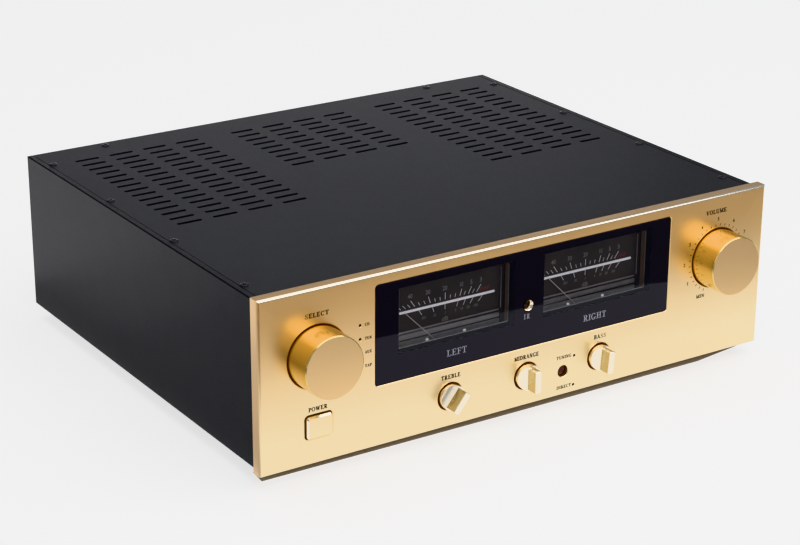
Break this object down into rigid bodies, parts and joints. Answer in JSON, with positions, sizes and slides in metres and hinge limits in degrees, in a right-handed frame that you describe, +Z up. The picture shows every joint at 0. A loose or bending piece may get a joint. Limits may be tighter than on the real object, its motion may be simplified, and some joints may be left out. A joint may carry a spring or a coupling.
{
  "type": "integrated amplifier",
  "caption": "Stereo integrated amplifier in a black steel case with a thick gold front panel, two needle meters behind glass, select, volume and tone knobs and rear sockets.",
  "frame": {"origin": "middle of the footprint, knobs and rear terminals included, on the surface that the feet stand on", "axes": "+X to the right seen from the front, +Y to the back, +Z up"},
  "size_m": [0.43, 0.4028, 0.135],
  "materials": {
    "gold_anodised": "fine satin gold anodised aluminium",
    "black_paint": "fine matt black powder coat on steel sheet",
    "zinc_steel": "zinc plated",
    "dark_glass": "smoked glass, black printed on the back around the two meter windows",
    "dial_black": "matt black dial plate with printed scale",
    "needle_white": "white painted needle",
    "rubber_black": "matt moulded rubber",
    "black_plastic": "moulded black plastic",
    "board_green": "green circuit board with soldered components",
    "heatsink_black": "black anodised extrusion",
    "winding_film": "varnished film over the windings",
    "capacitor_sleeve": "dark blue sleeve",
    "red_plastic": "dark red plastic"
  },
  "bodies": {
    "amplifier": {"bass_potentiometer": "black_plastic", "bottom_plate": "black_paint", "front_left_foot": "rubber_black", "front_panel": "gold_anodised", "front_right_foot": "rubber_black", "front_window": "dark_glass", "input_jack_block": "black_plastic", "left_cover_rail": "zinc_steel", "left_filter_capacitor": "capacitor_sleeve", "left_heatsink": "heatsink_black", "left_meter_dial": "dial_black", "left_meter_housing": "black_plastic", "left_power_board": "board_green", "left_side_plate": "black_paint", "mains_inlet": "black_plastic", "midrange_potentiometer": "black_plastic", "mode_switch_board": "board_green", "power_switch": "black_plastic", "preamplifier_board": "board_green", "rear_left_foot": "rubber_black", "rear_panel": "black_paint", "rear_right_foot": "rubber_black", "remote_eye_bezel": "gold_anodised", "remote_receiver": "red_plastic", "right_cover_rail": "zinc_steel", "right_filter_capacitor": "capacitor_sleeve", "right_heatsink": "heatsink_black", "right_meter_dial": "dial_black", "right_meter_housing": "black_plastic", "right_power_board": "board_green", "right_side_plate": "black_paint", "select_switch": "black_plastic", "source_light_board": "board_green", "speaker_terminal_block": "black_plastic", "sub_panel": "zinc_steel", "supply_board": "board_green", "top_cover": "black_paint", "toroidal_transformer": "winding_film", "transformer_clamp": "zinc_steel", "treble_potentiometer": "black_plastic", "volume_potentiometer": "black_plastic"},
    "select_control": {"select_knob": "gold_anodised", "select_shaft": "zinc_steel"},
    "volume_control": {"volume_knob": "gold_anodised", "volume_shaft": "zinc_steel"},
    "treble_control": {"treble_knob": "gold_anodised", "treble_shaft": "zinc_steel"},
    "midrange_control": {"midrange_knob": "gold_anodised", "midrange_shaft": "zinc_steel"},
    "bass_control": {"bass_knob": "gold_anodised", "bass_shaft": "zinc_steel"},
    "power_push": {"power_button": "gold_anodised"},
    "mode_push": {"mode_button": "red_plastic"},
    "left_needle": {"left_meter_needle": "needle_white"},
    "right_needle": {"right_meter_needle": "needle_white"},
    "left_minus_cap": {"left_minus_terminal_cap": "black_plastic"},
    "left_plus_cap": {"left_plus_terminal_cap": "red_plastic"},
    "right_minus_cap": {"right_minus_terminal_cap": "black_plastic"},
    "right_plus_cap": {"right_plus_terminal_cap": "red_plastic"}
  },
  "joints": [
    {"name": "select_turn", "type": "hinge", "parent": "amplifier", "child": "select_control", "pos_m": [-0.1705, -0.1794, 0.0868], "axis": [0, 1, 0], "range_deg": [0, 90]},
    {"name": "volume_turn", "type": "hinge", "parent": "amplifier", "child": "volume_control", "pos_m": [0.1705, -0.1794, 0.0868], "axis": [0, 1, 0], "range_deg": [0, 300]},
    {"name": "treble_turn", "type": "hinge", "parent": "amplifier", "child": "treble_control", "pos_m": [-0.0645, -0.1794, 0.0326], "axis": [0, 1, 0], "range_deg": [-188, 112]},
    {"name": "midrange_turn", "type": "hinge", "parent": "amplifier", "child": "midrange_control", "pos_m": [0, -0.1794, 0.0326], "axis": [0, 1, 0], "range_deg": [-150, 150]},
    {"name": "bass_turn", "type": "hinge", "parent": "amplifier", "child": "bass_control", "pos_m": [0.0645, -0.1794, 0.0326], "axis": [0, 1, 0], "range_deg": [-155, 145]},
    {"name": "power_press", "type": "slide", "parent": "amplifier", "child": "power_push", "axis": [0, 1, 0], "range_m": [0, 0.003], "stiffness_N_per_m": 400},
    {"name": "mode_press", "type": "slide", "parent": "amplifier", "child": "mode_push", "axis": [0, 1, 0], "range_m": [0, 0.001], "stiffness_N_per_m": 300},
    {"name": "left_needle_swing", "type": "hinge", "parent": "amplifier", "child": "left_needle", "pos_m": [-0.0602, -0.1674, 0.0623], "axis": [0, 1, 0], "range_deg": [0, 90], "stiffness_Nm_per_rad": 0.0001, "springref_deg": -17.19},
    {"name": "right_needle_swing", "type": "hinge", "parent": "amplifier", "child": "right_needle", "pos_m": [0.0602, -0.1674, 0.0623], "axis": [0, 1, 0], "range_deg": [0, 90], "stiffness_Nm_per_rad": 0.0001, "springref_deg": -17.19},
    {"name": "left_minus_cap_turn", "type": "hinge", "parent": "amplifier", "child": "left_minus_cap", "pos_m": [-0.039, 0.1864, 0.054], "axis": [0, 1, 0], "range_deg": [0, 360]},
    {"name": "left_plus_cap_turn", "type": "hinge", "parent": "amplifier", "child": "left_plus_cap", "pos_m": [-0.013, 0.1864, 0.054], "axis": [0, 1, 0], "range_deg": [0, 360]},
    {"name": "right_minus_cap_turn", "type": "hinge", "parent": "amplifier", "child": "right_minus_cap", "pos_m": [0.013, 0.1864, 0.054], "axis": [0, 1, 0], "range_deg": [0, 360]},
    {"name": "right_plus_cap_turn", "type": "hinge", "parent": "amplifier", "child": "right_plus_cap", "pos_m": [0.039, 0.1864, 0.054], "axis": [0, 1, 0], "range_deg": [0, 360]}
  ]
}
